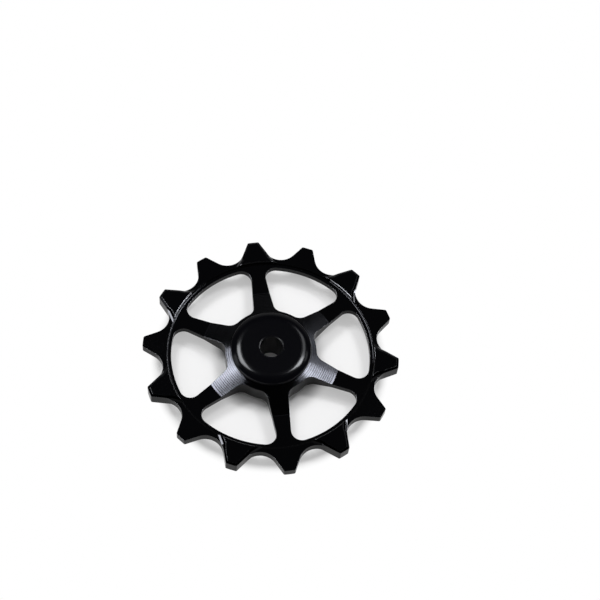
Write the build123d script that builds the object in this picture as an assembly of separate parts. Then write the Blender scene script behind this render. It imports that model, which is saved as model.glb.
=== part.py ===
from build123d import *
import math
import os

# Derailleur jockey wheel, in millimetres. The wheel's axis is +Z, its mid-plane is Z = 0,
# and the first wide tooth and the first spoke point along +Y.

# Chain and teeth
chain_pitch = 12.7
tooth_count = 14
roller_seat_radius = 4.05
tip_above_pitch = 0.45
tip_flat = 2.5
tip_corner_radius = 0.45
narrow_thickness = 2.0
wide_thickness = 3.35
pad_bevel_width = 0.5
pad_bevel_height = 0.28
pad_draft = 0.38
pad_margin = 0.05
pad_foot_gap = 0.2
pad_shoulder = 0.36

# Web, windows and spokes
rim_depth = 1.05
web_thickness = 1.4
step_fillet = 0.28
step_chamfer = 0.15
web_band = 0.95
spoke_count = 6
spoke_rim_width = 2.85
spoke_hub_width = 4.85
window_rim_corner = 2.4
window_hub_corner = 2.4

# Hub
cone_length = 5.35
hub_wall = 1.9
hub_shoulder = 1.4
hub_recess = 0.1
seat_chamfer = 0.2

# Ball bearing
bearing_bore = 7.0
bearing_outer = 14.0
bearing_width = 5.0
ring_chamfer = 0.15
press_gap = 0.01
ball_count = 8
ball_diameter = 2.0
ball_play = 0.03
groove_ratio = 0.52
groove_depth = 0.28
seal_thickness = 0.35
seal_recess = 0.2
seal_seat = 0.3
seal_lip_gap = 0.05
cage_gap = 0.25
cage_seal_gap = 0.35
cage_mouth = 0.4
cage_pocket_play = 0.08
cage_slot = 0.7

# Caps
bolt_bore = 5.1
bolt_chamfer = 0.2
cap_overhang = 0.15
cap_gap = 0.2
cap_thickness = 1.5
cap_side = 0.85
cap_crown_width = 2.4
cap_edge_radius = 0.25

# Worked out from the sizes above
pitch_angle = 360 / tooth_count
pitch_radius = chain_pitch / 2 / math.sin(math.radians(pitch_angle / 2))
tip_radius = pitch_radius + tip_above_pitch
root_radius = pitch_radius - roller_seat_radius
step_radius = root_radius - rim_depth
window_rim_radius = step_radius - web_band
ring_radius = bearing_outer / 2
seat_radius = ring_radius + press_gap
hub_radius = seat_radius + hub_wall
window_hub_radius = hub_radius + hub_shoulder
cone_radius = window_hub_radius + cone_length
cap_radius = hub_radius + cap_overhang
wide_half = wide_thickness / 2
narrow_half = narrow_thickness / 2
web_half = web_thickness / 2
bearing_half = bearing_width / 2
hub_half = bearing_half - hub_recess
cap_under = hub_half + cap_gap
cap_top = cap_under + cap_thickness
ball_radius = ball_diameter / 2
ball_circle = (bearing_bore + bearing_outer) / 4
ball_reach = ball_radius + ball_play
groove_radius = ball_diameter * groove_ratio
inner_shoulder = ball_circle - ball_reach + groove_depth
outer_shoulder = ball_circle + ball_reach - groove_depth
seal_top = bearing_half - seal_recess
seal_floor = seal_top - seal_thickness
seal_seat_radius = outer_shoulder + seal_seat
spoke_angle = 360 / spoke_count
ball_angle = 360 / ball_count


def polar(radius, degrees):
    return Vector(radius, 0).rotate(Axis.Z, degrees)


def both_faces(points):
    """Closed section of a turned piece from the points of its upper half."""
    lower = [(radius, -height) for radius, height in reversed(points)]
    return make_face(Polyline(*points, *lower, close=True))


def turned(section):
    """Solid of revolution about +Z from a section of radius and height."""
    return revolve(Plane.XZ * section, Axis.Z)


def wheel_blank():
    """The wheel as it comes off the lathe: hub, cone, web and a rim as thick as the wide teeth."""
    section = both_faces(
        [
            (seat_radius, hub_half - seat_chamfer),
            (seat_radius + seat_chamfer, hub_half),
            (hub_radius, hub_half),
            (cone_radius, web_half),
            (step_radius, web_half),
            (step_radius, wide_half - step_chamfer),
            (step_radius + step_chamfer, wide_half),
            (tip_radius - pad_bevel_width, wide_half),
            (tip_radius, wide_half - pad_bevel_height),
        ]
    )
    inner_corners = [
        corner
        for corner in section.vertices()
        if math.isclose(corner.X, step_radius) and math.isclose(abs(corner.Y), web_half)
    ]
    return turned(fillet(inner_corners, step_fillet))


def flank():
    """Tip corner of a tooth and the point where its flank meets the roller seat, seen from the gap."""
    half_angle = math.degrees(math.asin(tip_flat / 2 / tip_radius))
    corner = polar(tip_radius, pitch_angle / 2 - half_angle)
    to_seat = Vector(pitch_radius, 0) - corner
    tangent_length = math.sqrt(to_seat.length**2 - roller_seat_radius**2)
    turn = math.degrees(math.asin(roller_seat_radius / to_seat.length))
    return corner, corner + to_seat.normalized().rotate(Axis.Z, -turn) * tangent_length


def tooth_gap():
    """Outline of one gap between two teeth, open outwards, with its axis along +X."""
    corner, seat_start = flank()
    beyond = corner * (1 + tip_flat / tip_radius)
    upper = [beyond, corner, seat_start]
    lower = [Vector(point.X, -point.Y) for point in reversed(upper)]
    seat = ThreePointArc(seat_start, (root_radius, 0), lower[0])
    return make_face([Polyline(*upper), seat, Polyline(*lower), Line(lower[-1], upper[0])])


def tooth_outline():
    outline = Sketch() + Circle(tip_radius)
    for index in range(tooth_count):
        outline -= Rot(0, 0, 90 + (index + 0.5) * pitch_angle) * tooth_gap()
    tip_corners = [corner for corner in outline.vertices() if Vector(corner).length > pitch_radius]
    return fillet(tip_corners, tip_corner_radius)


def narrow_pocket():
    """Pocket that thins one narrow tooth on the upper face, with the tooth along +X.

    Its drafted sides are the steps down from the wide teeth on either side, and a bevel runs along
    their tops. Each side keeps clear of the wide tooth's flank, turns in at the root of the gap and
    ends at the turned step, close to the middle of the gap.
    """
    corner, seat_start = flank()
    along = (seat_start - corner).normalized()
    clear = along.rotate(Axis.Z, 90) * (pad_draft + pad_margin)
    seat_centre = Vector(pitch_radius, 0)
    seat_sweep = 180 - math.degrees(math.atan2(seat_start.Y, seat_start.X - pitch_radius))
    side = [
        corner + clear - along * chain_pitch,
        seat_start + clear,
        seat_centre + (seat_start - seat_centre).rotate(Axis.Z, pad_shoulder * seat_sweep),
        polar(step_radius, math.degrees(pad_foot_gap / step_radius)),
    ]
    side.append(side[-1] + (side[-1] - side[-2]).normalized() * rim_depth)
    upper = [point.rotate(Axis.Z, pitch_angle / 2) for point in side]
    lower = [Vector(point.X, -point.Y) for point in reversed(upper)]
    floor = make_face(Polyline(*upper, *lower, close=True))
    bevel_foot = offset(floor, pad_draft, kind=Kind.INTERSECTION)
    mouth = offset(bevel_foot, pad_margin + pad_bevel_width, kind=Kind.INTERSECTION)
    levels = [
        Pos(0, 0, narrow_half) * floor,
        Pos(0, 0, wide_half - pad_bevel_height) * bevel_foot,
        Pos(0, 0, wide_half) * mouth,
    ]
    return loft(levels, ruled=True)


def window():
    """Outline of one window between two spokes, with its axis along +X and its corners rounded."""
    half_rim = math.degrees(math.asin(spoke_rim_width / 2 / window_rim_radius))
    half_hub = math.degrees(math.asin(spoke_hub_width / 2 / window_hub_radius))
    rim_corner = polar(window_rim_radius, spoke_angle / 2 - half_rim)
    hub_corner = polar(window_hub_radius, spoke_angle / 2 - half_hub)
    rim_other = Vector(rim_corner.X, -rim_corner.Y)
    hub_other = Vector(hub_corner.X, -hub_corner.Y)
    outline = make_face(
        [
            ThreePointArc(rim_corner, (window_rim_radius, 0), rim_other),
            Line(rim_other, hub_other),
            ThreePointArc(hub_other, (window_hub_radius, 0), hub_corner),
            Line(hub_corner, rim_corner),
        ]
    )
    by_radius = outline.vertices().sort_by(lambda corner: Vector(corner).length)
    outline = fillet(by_radius[:2], window_hub_corner)
    by_radius = outline.vertices().sort_by(lambda corner: Vector(corner).length)
    return fillet(by_radius[-2:], window_rim_corner)


def make_wheel():
    wheel = wheel_blank() & extrude(tooth_outline(), wide_thickness, both=True)
    for index in range(1, tooth_count, 2):
        pocket = Rot(0, 0, 90 + index * pitch_angle) * narrow_pocket()
        wheel -= pocket
        wheel -= mirror(pocket, Plane.XY)
    for index in range(spoke_count):
        turn = Rot(0, 0, 90 + (index + 0.5) * spoke_angle)
        wheel -= turn * extrude(window(), bearing_width, both=True)
    return wheel


def make_outer_ring():
    section = both_faces(
        [
            (outer_shoulder, seal_floor),
            (seal_seat_radius, seal_floor),
            (seal_seat_radius, bearing_half),
            (ring_radius - ring_chamfer, bearing_half),
            (ring_radius, bearing_half - ring_chamfer),
        ]
    )
    groove_centre = ball_circle + ball_reach - groove_radius
    return turned(section - Pos(groove_centre, 0) * Circle(groove_radius))


def make_inner_ring():
    section = both_faces(
        [
            (bearing_bore / 2, bearing_half - ring_chamfer),
            (bearing_bore / 2 + ring_chamfer, bearing_half),
            (inner_shoulder, bearing_half),
        ]
    )
    groove_centre = ball_circle - ball_reach + groove_radius
    return turned(section - Pos(groove_centre, 0) * Circle(groove_radius))


def make_seal():
    """Upper seal: a washer seated in the outer ring, with a lip that thins towards the inner ring."""
    rim = seal_seat_radius - press_gap
    lip = inner_shoulder + seal_lip_gap
    lip_start = lip + seal_thickness
    section = Polyline(
        (rim, seal_top),
        (lip_start, seal_top),
        (lip, (seal_top + seal_floor) / 2),
        (lip_start, seal_floor),
        (rim, seal_floor),
        close=True,
    )
    return turned(make_face(section))


def make_cage():
    """Crown cage: a ring below the balls whose fingers reach past their middle and hold them."""
    inside = inner_shoulder + cage_gap
    outside = outer_shoulder - cage_gap
    bottom = cage_seal_gap - seal_floor
    corners = [(inside, bottom), (outside, bottom), (outside, cage_mouth), (inside, cage_mouth)]
    cage = turned(make_face(Polyline(*corners, close=True)))
    pocket = Rot(0, 90, 0) * Cylinder(ball_radius + cage_pocket_play, ball_diameter)
    slot = Pos(ball_circle, 0, cage_mouth) * Box(ball_circle, cage_slot, ball_radius)
    for index in range(ball_count):
        cage -= ball_place(index) * pocket
        cage -= Rot(0, 0, 90 + index * ball_angle) * slot
    return cage


def ball_place(index):
    return Rot(0, 0, 90 + (index + 0.5) * ball_angle) * Pos(ball_circle, 0, 0)


def make_cap():
    """Upper cap: a cover with a crowned edge, a land on the inner ring and a boss in its bore."""
    crown_start = (cap_radius - cap_crown_width, cap_top)
    crown_end = (cap_radius, cap_under + cap_side)
    boss_radius = bearing_bore / 2 - press_gap
    land_radius = inner_shoulder - ring_chamfer
    crown = TangentArc(crown_start, crown_end, tangent=(1, 0))
    rest = Polyline(
        crown_end,
        (cap_radius, cap_under),
        (land_radius, cap_under),
        (land_radius, bearing_half),
        (boss_radius, bearing_half),
        (boss_radius, 0),
        (bolt_bore / 2, 0),
        (bolt_bore / 2, cap_top - bolt_chamfer),
        (bolt_bore / 2 + bolt_chamfer, cap_top),
        crown_start,
    )
    section = make_face([crown, rest])
    edge = section.vertices().sort_by_distance(crown_end)[0]
    return turned(fillet(edge, cap_edge_radius))


upper_cap = make_cap()
upper_seal = make_seal()
parts = {
    "pulley_wheel": make_wheel(),
    "upper_cap": upper_cap,
    "lower_cap": mirror(upper_cap, Plane.XY),
    "outer_ring": make_outer_ring(),
    "inner_ring": make_inner_ring(),
    "ball_cage": make_cage(),
    "upper_seal": upper_seal,
    "lower_seal": mirror(upper_seal, Plane.XY),
}
for index in range(ball_count):
    parts[f"ball_{index + 1}"] = ball_place(index) * Sphere(ball_radius)

os.makedirs("parts", exist_ok=True)
for name, solid in parts.items():
    export_step(solid, f"parts/{name}.step")
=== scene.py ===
import math
from collections import namedtuple

import bpy
from mathutils import Matrix, Vector


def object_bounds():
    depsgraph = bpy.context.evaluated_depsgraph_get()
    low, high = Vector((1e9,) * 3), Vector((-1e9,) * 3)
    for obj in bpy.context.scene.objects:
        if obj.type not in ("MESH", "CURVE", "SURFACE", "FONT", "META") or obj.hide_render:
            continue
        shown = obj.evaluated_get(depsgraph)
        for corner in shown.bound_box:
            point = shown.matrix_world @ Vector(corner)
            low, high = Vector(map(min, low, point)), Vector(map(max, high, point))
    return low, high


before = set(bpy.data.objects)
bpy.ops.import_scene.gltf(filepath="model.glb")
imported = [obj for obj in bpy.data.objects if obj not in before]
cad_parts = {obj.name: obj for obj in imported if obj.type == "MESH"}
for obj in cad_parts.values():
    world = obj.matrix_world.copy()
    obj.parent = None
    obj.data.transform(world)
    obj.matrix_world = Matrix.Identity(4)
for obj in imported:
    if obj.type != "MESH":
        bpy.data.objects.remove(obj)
cad_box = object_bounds()

MM = 0.001

# Sizes of the solids that the looks follow, in millimetres
CONE_RADIUS = 15.66
STEP_RADIUS = 23.44
STEP_FILLET = 0.28
STEP_CHAMFER = 0.15
NARROW_HALF = 1.0
WIDE_HALF = 1.675
WEB_HALF = 0.7

# Where the finishes of the wheel and the caps fade in and out, in millimetres
CONE_FADE = 0.1
CONE_RISE = (0.004, 0.03)
FILLET_FOOT = 1.2 * STEP_FILLET
FILLET_TOP = (0.1, 0.04)
FILLET_SLACK = 0.003
PAD_FADE = 0.05
CREST_DEPTH = (0.19, 0.14)
CREST_INSIDE = (0.1, 0.05)
CHAMFER_REACH = 1.3 * STEP_CHAMFER
BORE_RIM = (3.0, 3.5)

# Radii to which sharp edges look rounded, in millimetres
EDGE_SOFTNESS = 0.07
CREST_SOFTNESS = 0.2
BORE_SOFTNESS = 0.08

# Upward share of the normal at which one kind of surface gives way to the next
WALL_TO_FACE = (0.5, 0.8)
WALL_TO_STRIP = (0.3, 0.4)
FACE_TO_STRIP = (0.95, 0.91)
SIDE_TO_BEVEL = (0.72, 0.8)
CROWN_TO_SIDE = (0.85, 0.72)

# Likeness of the rounded normal to the surface's own at which an edge starts and is full
EDGE_LIKENESS = (0.992, 0.965)

# Lathe marks on the cone: spacing and wander in millimetres, and the share of uneven depth
MARK_SPACING = 0.45
MARK_WANDER = 0.05
MARK_UNEVENNESS = 0.8

# Ease at the cone's outer end: its width in millimetres and the change of slope over it
CONE_BLEND = 0.35
CONE_SLOPE_CHANGE = 0.12

# Range of a noise that the roughness follows
NOISE_RANGE = (0.3, 0.7)

# Tints, each the darkest and the lightest where there are two
FACE_TINTS = ((0.001, 0.001, 0.0012, 1.0), (0.002, 0.002, 0.0023, 1.0))
CONE_TINTS = ((0.03, 0.031, 0.036, 1.0), (0.08, 0.081, 0.09, 1.0))
EDGE_TINTS = ((0.08, 0.08, 0.085, 1.0), (0.15, 0.15, 0.155, 1.0))
PAD_SIDE_TINT = (0.05, 0.05, 0.053, 1.0)
PAD_BEVEL_TINT = (0.018, 0.018, 0.02, 1.0)
FILLET_TINT = (0.028, 0.028, 0.03, 1.0)
CREST_TINT = (0.06, 0.06, 0.063, 1.0)
CHAMFER_TINT = (0.1, 0.1, 0.105, 1.0)
CAP_TINTS = ((0.0012, 0.0012, 0.0018, 1.0), (0.0022, 0.0022, 0.003, 1.0))
BEARING_TINTS = ((0.42, 0.42, 0.43, 1.0), (0.55, 0.55, 0.56, 1.0))
BALL_TINTS = ((0.58, 0.58, 0.6, 1.0), (0.66, 0.66, 0.68, 1.0))
POLYMER_TINTS = ((0.03, 0.03, 0.03, 1.0), (0.06, 0.06, 0.06, 1.0))
RUBBER_TINTS = ((0.012, 0.012, 0.012, 1.0), (0.025, 0.025, 0.025, 1.0))
FLOOR_TINTS = ((0.81, 0.79, 0.765, 1.0), (0.83, 0.81, 0.785, 1.0))
WHITE = (1.0, 1.0, 1.0, 1.0)

# Roughness, from the smoothest to the roughest spots
FACE_ROUGHNESS = (0.03, 0.05)
WALL_ROUGHNESS = (0.08, 0.12)
CONE_ROUGHNESS = (0.12, 0.15)
CROWN_ROUGHNESS = (0.11, 0.15)
CAP_SIDE_ROUGHNESS = (0.35, 0.45)
BEARING_ROUGHNESS = (0.2, 0.34)
BALL_ROUGHNESS = (0.05, 0.1)
POLYMER_ROUGHNESS = (0.45, 0.6)
RUBBER_ROUGHNESS = (0.5, 0.7)

# The floor, in metres: its size, and its height at the lowest point of the solids
FLOOR_SIZE = 3.0
FLOOR_HEIGHT = cad_box[0][2]

# Distances from the axle, in metres, over which the floor glows white to the camera and in reflections. The
# glow comes first as a share that paints light over the wheel's shadows, then covers the floor wholly
NEAR_WHITE = (10.5 * MM, 14.5 * MM)
NEAR_PAINTED_GLOW = 0.4
FAR_WHITE = (23.5 * MM, 27.5 * MM)

# The room: brightness from the horizon up, and a glow behind the wheel
ROOM_HEIGHTS = (0.1, 0.55)
ROOM_LIGHT = (0.25, 0.01)
GLOW_SPREAD = (0.3, 0.7)
GLOW_LIGHT = 0.45
GLOW_HEIGHTS = (0.6, 0.2)

# Lamps, with distances in metres and angles in degrees
SOFTBOX_HEIGHT = 0.6
PANEL_DISTANCE = 0.5
LAMP_COLOR = (0.937, 0.962, 1.0)
FILL_STRENGTH = 1.0
FILL_SPREAD = 80.0

# The photograph's camera, in pixels, millimetres and degrees. X runs across the picture in its frame
PHOTO_PIXELS = 600
FOCAL_PIXELS = 1550.0
SENSOR_WIDTH = 36.0
CAMERA_DISTANCE = 358.42
CAMERA_ELEVATION = 60.696
CAMERA_ROLL = 6.83
CAMERA_NEAREST = 10.0
LOOK_AT = (5.1136, 15.0225, 0.0)
PICTURE_TURN = -14.822

picture_frame = Matrix.Rotation(math.radians(PICTURE_TURN), 4, "Z")

Spot = namedtuple("Spot", "position radius height upward")
Masks = namedtuple("Masks", "face cone fillet pad_side edge crest crest_edge chamfer")


class Nodes:
    """A node tree with short calls to add and join nodes."""

    def __init__(self, tree):
        self.tree = tree
        tree.nodes.clear()

    def add(self, kind, settings=None, **inputs):
        """A new node. An underscore in an input's name stands for a space."""
        node = self.tree.nodes.new(kind)
        for name, value in (settings or {}).items():
            setattr(node, name, value)
        for name, value in inputs.items():
            self.feed(node, name.replace("_", " "), value)
        return node

    def feed(self, node, name, value):
        """Joins a socket to an input, or sets a constant on it. The input is a name or a number."""
        socket = node.inputs[name]
        if isinstance(value, bpy.types.NodeSocket):
            self.tree.links.new(value, socket)
        else:
            socket.default_value = value

    def math(self, operation, *values):
        node = self.add("ShaderNodeMath", {"operation": operation})
        for index, value in enumerate(values):
            self.feed(node, index, value)
        return node.outputs[0]

    def product(self, first, *others):
        for other in others:
            first = self.math("MULTIPLY", first, other)
        return first

    def largest(self, first, *others):
        for other in others:
            first = self.math("MAXIMUM", first, other)
        return first

    def vector_math(self, operation, *vectors):
        node = self.add("ShaderNodeVectorMath", {"operation": operation})
        for index, vector in enumerate(vectors):
            self.feed(node, index, vector)
        return node.outputs["Value" if operation in ("LENGTH", "DOT_PRODUCT") else "Vector"]

    def vector(self, **parts):
        return self.add("ShaderNodeCombineXYZ", **parts).outputs["Vector"]

    def ramp(self, value, low, high, start=0.0, end=1.0):
        """A value that goes smoothly from start to end as the input goes from low to high."""
        limits = {"From_Min": low, "From_Max": high, "To_Min": start, "To_Max": end}
        node = self.add("ShaderNodeMapRange", {"interpolation_type": "SMOOTHSTEP"}, Value=value, **limits)
        return node.outputs["Result"]

    def spread(self, noise, low, high):
        """A value between low and high that follows a noise."""
        return self.ramp(noise, *NOISE_RANGE, low, high)

    def noise(self, vector, scale, detail=3.0, roughness=0.5):
        node = self.add("ShaderNodeTexNoise", Vector=vector, Scale=scale, Detail=detail, Roughness=roughness)
        return node.outputs["Fac"]

    def mix(self, kind, factor, values, first_input, output):
        """A mix of two values, with the places of the sockets that its kind of value uses."""
        node = self.add("ShaderNodeMix", {"data_type": kind})
        self.feed(node, 0, factor)
        for index, value in enumerate(values):
            self.feed(node, first_input + index, value)
        return node.outputs[output]

    def mix_value(self, factor, first, second):
        return self.mix("FLOAT", factor, (first, second), first_input=2, output=0)

    def mix_vector(self, factor, first, second):
        return self.mix("VECTOR", factor, (first, second), first_input=4, output=1)

    def mix_color(self, factor, first, second):
        return self.mix("RGBA", factor, (first, second), first_input=6, output=2)

    def bevel(self, radius, samples):
        """The normal as if edges were rounded, with the radius in millimetres."""
        return self.add("ShaderNodeBevel", {"samples": samples}, Radius=radius * MM).outputs["Normal"]

    def bump(self, height, strength, distance, **normal):
        """The normal of a surface with small heights on it, with the distance in millimetres."""
        node = self.add("ShaderNodeBump", Height=height, Strength=strength, Distance=distance * MM, **normal)
        return node.outputs["Normal"]

    def around_axle(self):
        """The direction around the axle, in which a lathe tool runs."""
        return self.add("ShaderNodeTangent", {"direction_type": "RADIAL", "axis": "Z"}).outputs["Tangent"]

    def surface_normal(self):
        return self.add("ShaderNodeNewGeometry").outputs["Normal"]


def new_material(name):
    material = bpy.data.materials.new(name)
    material.use_nodes = True
    return material, Nodes(material.node_tree)


def finish_material(nodes, **inputs):
    surface = nodes.add("ShaderNodeBsdfPrincipled", **inputs)
    nodes.add("ShaderNodeOutputMaterial", Surface=surface.outputs["BSDF"])


def place(nodes):
    """Position in millimetres, radius about the axle, height and upward share of the normal."""
    coordinates = nodes.add("ShaderNodeTexCoord").outputs
    scale = nodes.add("ShaderNodeVectorMath", {"operation": "SCALE"}, Scale=1 / MM)
    nodes.feed(scale, "Vector", coordinates["Object"])
    position = scale.outputs["Vector"]
    parts = nodes.add("ShaderNodeSeparateXYZ", Vector=position).outputs
    radius = nodes.vector_math("LENGTH", nodes.vector(X=parts["X"], Y=parts["Y"]))
    normal = nodes.add("ShaderNodeSeparateXYZ", Vector=coordinates["Normal"]).outputs
    return Spot(position, radius, parts["Z"], nodes.math("ABSOLUTE", normal["Z"]))


def turned_marks(nodes, spot):
    """Fine rings left by the lathe tool, a little uneven, as a height from 0 to 1."""
    drift = nodes.noise(spot.position, scale=0.35, detail=2.0)
    uneven = nodes.math("MULTIPLY_ADD", drift, MARK_WANDER, spot.radius)
    wave = nodes.math("SINE", nodes.math("MULTIPLY", uneven, 2 * math.pi / MARK_SPACING))
    return nodes.math("MULTIPLY_ADD", wave, 0.5, 0.5)


def rings_noise(nodes, radius, scale):
    """Random brightness that depends on the radius alone, as rings of different depth do."""
    return nodes.noise(nodes.vector(X=radius), scale, detail=4.0, roughness=0.7)


def worn_edges(nodes, rounded):
    """How far the rounded normal leaves the surface's own: 1 along edges, 0 on open faces."""
    likeness = nodes.vector_math("DOT_PRODUCT", rounded, nodes.surface_normal())
    return nodes.ramp(likeness, *EDGE_LIKENESS)


def wheel_masks(nodes, spot, rounded, crest_normal):
    """Which finish each point of the wheel has, as shares from 0 to 1."""
    tall = nodes.math("ABSOLUTE", spot.height)
    face = nodes.ramp(spot.upward, *WALL_TO_FACE)
    cone = nodes.product(
        nodes.ramp(spot.radius, CONE_RADIUS, CONE_RADIUS - CONE_FADE),
        face,
        nodes.ramp(nodes.math("SUBTRACT", tall, WEB_HALF), *CONE_RISE),
    )
    fillet = nodes.product(
        nodes.ramp(spot.radius, STEP_RADIUS - FILLET_FOOT, STEP_RADIUS - STEP_FILLET),
        nodes.ramp(spot.radius, *(STEP_RADIUS + beyond for beyond in FILLET_TOP)),
    )
    pad_side = nodes.product(
        nodes.ramp(spot.upward, *FACE_TO_STRIP),
        nodes.ramp(spot.upward, *WALL_TO_STRIP),
        nodes.ramp(tall, NARROW_HALF - PAD_FADE, NARROW_HALF),
    )
    crest = nodes.product(
        nodes.ramp(tall, *(WIDE_HALF - depth for depth in CREST_DEPTH)),
        nodes.ramp(spot.radius, *(STEP_RADIUS - inside for inside in CREST_INSIDE)),
    )
    chamfer = nodes.product(
        crest,
        nodes.ramp(spot.radius, STEP_RADIUS + CHAMFER_REACH, STEP_RADIUS + STEP_CHAMFER),
    )
    edge = worn_edges(nodes, rounded)
    crest_edge = nodes.product(crest, worn_edges(nodes, crest_normal))
    return Masks(face, cone, fillet, pad_side, edge, crest, crest_edge, chamfer)


def wheel_color(nodes, masks, upward, grain, rings):
    """Black faces, a grey turned cone and light lines on the edges, pads and step."""
    color = nodes.mix_color(grain, *FACE_TINTS)
    color = nodes.mix_color(masks.cone, color, nodes.mix_color(rings, *CONE_TINTS))
    color = nodes.mix_color(masks.edge, color, nodes.mix_color(grain, *EDGE_TINTS))
    bevel = nodes.ramp(upward, *SIDE_TO_BEVEL)
    color = nodes.mix_color(masks.pad_side, color, nodes.mix_color(bevel, PAD_SIDE_TINT, PAD_BEVEL_TINT))
    color = nodes.mix_color(masks.fillet, color, FILLET_TINT)
    color = nodes.mix_color(masks.crest_edge, color, CREST_TINT)
    return nodes.mix_color(masks.chamfer, color, CHAMFER_TINT)


def wheel_roughness(nodes, masks, grain, rings):
    smooth = nodes.largest(masks.face, masks.pad_side, masks.fillet)
    walls = nodes.spread(grain, *WALL_ROUGHNESS)
    roughness = nodes.mix_value(smooth, walls, nodes.spread(grain, *FACE_ROUGHNESS))
    return nodes.mix_value(masks.cone, roughness, nodes.spread(rings, *CONE_ROUGHNESS))


def step_normal(nodes, spot, surface):
    """The given normal, replaced by the exact one on the hollow fillet at the foot of the step."""
    middle_radius = STEP_RADIUS - STEP_FILLET
    middle_height = WEB_HALF + STEP_FILLET
    inward = nodes.math("DIVIDE", nodes.math("SUBTRACT", middle_radius, spot.radius), spot.radius)
    across = nodes.vector_math("MULTIPLY", spot.position, nodes.vector(X=inward, Y=inward))
    below = nodes.math("SUBTRACT", middle_height, nodes.math("ABSOLUTE", spot.height))
    rise = nodes.product(nodes.largest(below, 0.0), nodes.math("SIGN", spot.height))
    total = nodes.vector_math("ADD", across, nodes.vector(Z=rise))
    settings = {"vector_type": "NORMAL", "convert_from": "OBJECT", "convert_to": "WORLD"}
    turned = nodes.add("ShaderNodeVectorTransform", settings, Vector=total).outputs["Vector"]
    half = STEP_FILLET / 2
    inside = nodes.math("COMPARE", spot.radius, STEP_RADIUS - half, half + FILLET_SLACK)
    return nodes.mix_vector(inside, surface, nodes.vector_math("NORMALIZE", turned))


def cone_lift(nodes, radius):
    """A height that eases the cone's outer end into the web, in millimetres."""
    within = nodes.math("MINIMUM", radius, CONE_RADIUS)
    into_blend = nodes.largest(nodes.math("SUBTRACT", within, CONE_RADIUS - CONE_BLEND), 0.0)
    return nodes.product(nodes.math("POWER", into_blend, 2.0), CONE_SLOPE_CHANGE / (2 * CONE_BLEND))


def anodised_wheel():
    material, nodes = new_material("black_anodised_turned")
    spot = place(nodes)
    rounded = nodes.bevel(EDGE_SOFTNESS, samples=16)
    crest_normal = nodes.bevel(CREST_SOFTNESS, samples=16)
    masks = wheel_masks(nodes, spot, rounded, crest_normal)
    grain = nodes.noise(spot.position, scale=9.0, detail=4.0)
    rings = rings_noise(nodes, spot.radius, scale=2.2)
    marks = nodes.math("MULTIPLY_ADD", rings, MARK_UNEVENNESS, turned_marks(nodes, spot))
    normal = step_normal(nodes, spot, nodes.mix_vector(masks.crest, rounded, crest_normal))
    normal = nodes.bump(grain, strength=0.05, distance=0.02, Normal=normal)
    normal = nodes.bump(nodes.product(marks, masks.cone), strength=0.6, distance=0.008, Normal=normal)
    normal = nodes.bump(cone_lift(nodes, spot.radius), strength=1.0, distance=1.0, Normal=normal)
    lines = (masks.pad_side, masks.fillet, masks.edge, masks.crest_edge, masks.chamfer)
    finish_material(
        nodes,
        Base_Color=wheel_color(nodes, masks, spot.upward, grain, rings),
        Metallic=nodes.largest(masks.cone, *lines),
        Roughness=wheel_roughness(nodes, masks, grain, rings),
        IOR=1.16,
        Anisotropic=1.0,
        Anisotropic_Rotation=0.25,
        Tangent=nodes.around_axle(),
        Normal=normal,
    )
    return material


def anodised_cap():
    material, nodes = new_material("black_anodised_polished")
    spot = place(nodes)
    grain = nodes.noise(spot.position, scale=6.0, detail=4.0)
    rings = rings_noise(nodes, spot.radius, scale=9.0)
    side = nodes.ramp(spot.upward, *CROWN_TO_SIDE)
    crown_roughness = nodes.spread(rings, *CROWN_ROUGHNESS)
    roughness = nodes.mix_value(side, crown_roughness, nodes.spread(grain, *CAP_SIDE_ROUGHNESS))
    outside = nodes.ramp(spot.radius, *BORE_RIM)
    normal = nodes.mix_vector(outside, nodes.bevel(BORE_SOFTNESS, samples=6), nodes.surface_normal())
    finish_material(
        nodes,
        Base_Color=nodes.mix_color(grain, *CAP_TINTS),
        Roughness=roughness,
        IOR=1.3,
        Normal=nodes.bump(rings, strength=0.05, distance=0.01, Normal=normal),
    )
    return material


def ground_steel():
    material, nodes = new_material("ground_steel")
    rings = rings_noise(nodes, place(nodes).radius, scale=14.0)
    finish_material(
        nodes,
        Base_Color=nodes.mix_color(rings, *BEARING_TINTS),
        Metallic=1.0,
        Roughness=nodes.spread(rings, *BEARING_ROUGHNESS),
        Anisotropic=0.5,
        Tangent=nodes.around_axle(),
        Normal=nodes.bump(rings, strength=0.15, distance=0.01),
    )
    return material


def polished_steel():
    material, nodes = new_material("polished_steel")
    grain = nodes.noise(place(nodes).position, scale=12.0)
    finish_material(
        nodes,
        Base_Color=nodes.mix_color(grain, *BALL_TINTS),
        Metallic=1.0,
        Roughness=nodes.spread(grain, *BALL_ROUGHNESS),
    )
    return material


def moulded(name, tints, roughness):
    """A moulded polymer or rubber with a fine mottled surface."""
    material, nodes = new_material(name)
    grain = nodes.noise(place(nodes).position, scale=16.0, detail=5.0, roughness=0.6)
    finish_material(
        nodes,
        Base_Color=nodes.mix_color(grain, *tints),
        Roughness=nodes.spread(grain, *roughness),
        Normal=nodes.bump(grain, strength=0.2, distance=0.02),
    )
    return material


def dress(names, material):
    for name in names:
        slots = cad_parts[name].data.materials
        slots.clear()
        slots.append(material)


def dress_all():
    balls = [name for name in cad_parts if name.startswith("ball_") and name != "ball_cage"]
    dress(["pulley_wheel"], anodised_wheel())
    dress(["upper_cap", "lower_cap"], anodised_cap())
    dress(["outer_ring", "inner_ring"], ground_steel())
    dress(balls, polished_steel())
    dress(["ball_cage"], moulded("cage_polymer", POLYMER_TINTS, POLYMER_ROUGHNESS))
    dress(["upper_seal", "lower_seal"], moulded("seal_rubber", RUBBER_TINTS, RUBBER_ROUGHNESS))


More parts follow.
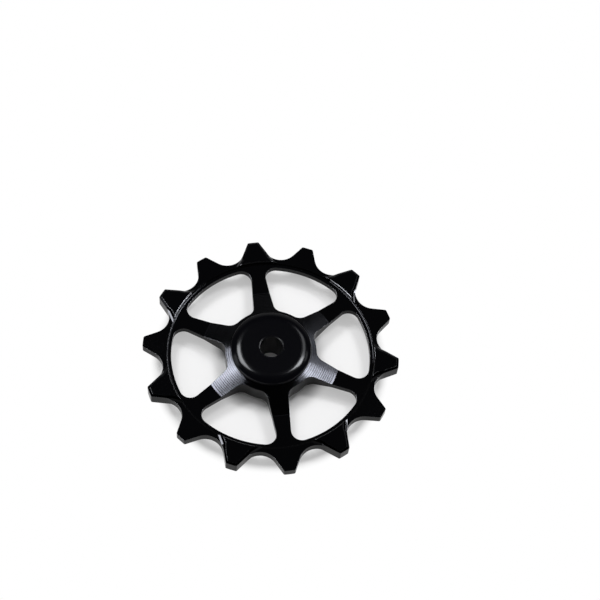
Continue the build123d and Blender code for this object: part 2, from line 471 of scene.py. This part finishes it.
def make_floor():
    """A pale floor that takes soft shadows near the wheel, partly lightened by a painted white glow, and
    glows pure white further out.
    """
    bpy.ops.mesh.primitive_plane_add(size=FLOOR_SIZE, location=(0.0, 0.0, FLOOR_HEIGHT))
    floor = bpy.context.object
    floor.name = "floor"
    material, nodes = new_material("white_floor")
    position = nodes.add("ShaderNodeTexCoord").outputs["Object"]
    mottle = nodes.noise(position, scale=30.0)
    paper = nodes.add("ShaderNodeBsdfDiffuse", Color=nodes.mix_color(mottle, *FLOOR_TINTS))
    white = nodes.add("ShaderNodeEmission", Color=WHITE, Strength=1.0)
    path = nodes.add("ShaderNodeLightPath").outputs
    seen = nodes.largest(path["Is Camera Ray"], path["Is Glossy Ray"], path["Is Transmission Ray"])
    away = nodes.vector_math("LENGTH", position)
    # Painted light: the floor glows white to the camera and in reflections. There is no glow under the hub,
    # a share of glow over the shadows in the wheel's windows, and full glow further out.
    near_painted_glow = nodes.ramp(away, *NEAR_WHITE, 0.0, NEAR_PAINTED_GLOW)
    far_share = nodes.ramp(away, *FAR_WHITE)
    surface = nodes.add("ShaderNodeMixShader")
    nodes.feed(surface, 0, nodes.product(seen, nodes.largest(near_painted_glow, far_share)))
    nodes.feed(surface, 1, paper.outputs["BSDF"])
    nodes.feed(surface, 2, white.outputs["Emission"])
    nodes.add("ShaderNodeOutputMaterial", Surface=surface.outputs["Shader"])
    floor.data.materials.append(material)


def make_world():
    """A dim room with a glow behind the wheel, which the camera itself sees as white."""
    world = bpy.data.worlds.new("studio")
    bpy.context.scene.world = world
    world.use_nodes = True
    nodes = Nodes(world.node_tree)
    path = nodes.add("ShaderNodeLightPath").outputs
    direction = nodes.add("ShaderNodeTexCoord").outputs["Generated"]
    up = nodes.add("ShaderNodeSeparateXYZ", Vector=direction).outputs["Z"]
    room = nodes.ramp(up, *ROOM_HEIGHTS, *ROOM_LIGHT)
    rearward = nodes.vector_math("DOT_PRODUCT", direction, picture_frame @ Vector((0.0, 1.0, 0.0)))
    glow = nodes.product(
        nodes.ramp(rearward, *GLOW_SPREAD, 0.0, GLOW_LIGHT),
        nodes.ramp(up, *GLOW_HEIGHTS),
    )
    strength = nodes.largest(room, glow, path["Is Camera Ray"])
    background = nodes.add("ShaderNodeBackground", Color=WHITE, Strength=strength)
    nodes.add("ShaderNodeOutputWorld", Surface=background.outputs["Background"])


def add_object(name, data):
    holder = bpy.data.objects.new(name, data)
    bpy.context.scene.collection.objects.link(holder)
    return holder


def add_rectangle(name, across, along, radiance):
    """A rectangular lamp with its sides in metres and its power worked out from its radiance."""
    lamp = bpy.data.lights.new(name, "AREA")
    lamp.shape = "RECTANGLE"
    lamp.size = across
    lamp.size_y = along
    lamp.energy = radiance * math.pi * across * along
    lamp.color = LAMP_COLOR
    return add_object(name, lamp)


def add_softbox(name, across, away, radiance):
    """A lamp over the table, given by the slopes at which the wheel sees its sides."""
    wide = (across[1] - across[0]) * SOFTBOX_HEIGHT
    deep = (away[1] - away[0]) * SOFTBOX_HEIGHT
    middle = Vector((sum(across) / 2, sum(away) / 2, 1.0)) * SOFTBOX_HEIGHT
    holder = add_rectangle(name, wide, deep, radiance)
    holder.matrix_world = picture_frame @ Matrix.Translation(middle)


def add_panel(name, azimuth, half_width, top, radiance):
    """An upright lamp beside the table, given by the angles at which the wheel sees it."""
    wide = 2 * PANEL_DISTANCE * math.tan(math.radians(half_width))
    tall = PANEL_DISTANCE * math.tan(math.radians(top))
    turn = Matrix.Rotation(math.radians(azimuth), 4, "Z")
    stand = Matrix.Translation((PANEL_DISTANCE, 0.0, tall / 2))
    holder = add_rectangle(name, tall, wide, radiance)
    holder.matrix_world = picture_frame @ turn @ stand @ Matrix.Rotation(math.pi / 2, 4, "Y")
    holder.visible_camera = False
    holder.visible_diffuse = False


def add_fill():
    """Wide light from above that softens the shadows and shows in no reflection."""
    lamp = bpy.data.lights.new("ceiling_fill", "SUN")
    lamp.energy = FILL_STRENGTH
    lamp.color = LAMP_COLOR
    lamp.angle = math.radians(FILL_SPREAD)
    holder = add_object("ceiling_fill", lamp)
    holder.visible_glossy = False


def make_lights():
    add_softbox("softbox_left", across=(-0.5, -0.21), away=(0.14, 0.52), radiance=18.0)
    add_softbox("softbox_right", across=(0.19, 0.46), away=(0.26, 0.44), radiance=26.0)
    add_softbox("softbox_right_rear", across=(0.19, 0.46), away=(0.44, 0.88), radiance=3.5)
    add_softbox("softbox_left_low", across=(-1.05, -0.7), away=(-0.05, 0.3), radiance=1.8)
    add_softbox("softbox_right_low", across=(0.6, 0.85), away=(0.35, 0.6), radiance=1.8)
    add_panel("panel_left", azimuth=183.0, half_width=14.0, top=11.0, radiance=9.0)
    add_panel("panel_left_front", azimuth=214.0, half_width=12.0, top=26.0, radiance=12.0)
    add_panel("panel_right", azimuth=17.0, half_width=30.0, top=9.0, radiance=22.0)
    add_fill()


def make_camera():
    camera = bpy.data.cameras.new("photo_camera")
    camera.sensor_width = SENSOR_WIDTH
    camera.lens = SENSOR_WIDTH * FOCAL_PIXELS / PHOTO_PIXELS
    camera.clip_start = CAMERA_NEAREST * MM
    tilt = Matrix.Rotation(math.pi / 2 - math.radians(CAMERA_ELEVATION), 4, "X")
    roll = Matrix.Rotation(math.radians(CAMERA_ROLL), 4, "Z")
    back = Matrix.Translation((0.0, 0.0, CAMERA_DISTANCE * MM))
    aim = Matrix.Translation(Vector(LOOK_AT) * MM)
    holder = add_object("photo_camera", camera)
    holder.matrix_world = picture_frame @ aim @ tilt @ back @ roll
    bpy.context.scene.camera = holder


dress_all()
make_floor()
make_world()
make_lights()
make_camera()
bpy.context.scene.view_settings.view_transform = "Standard"
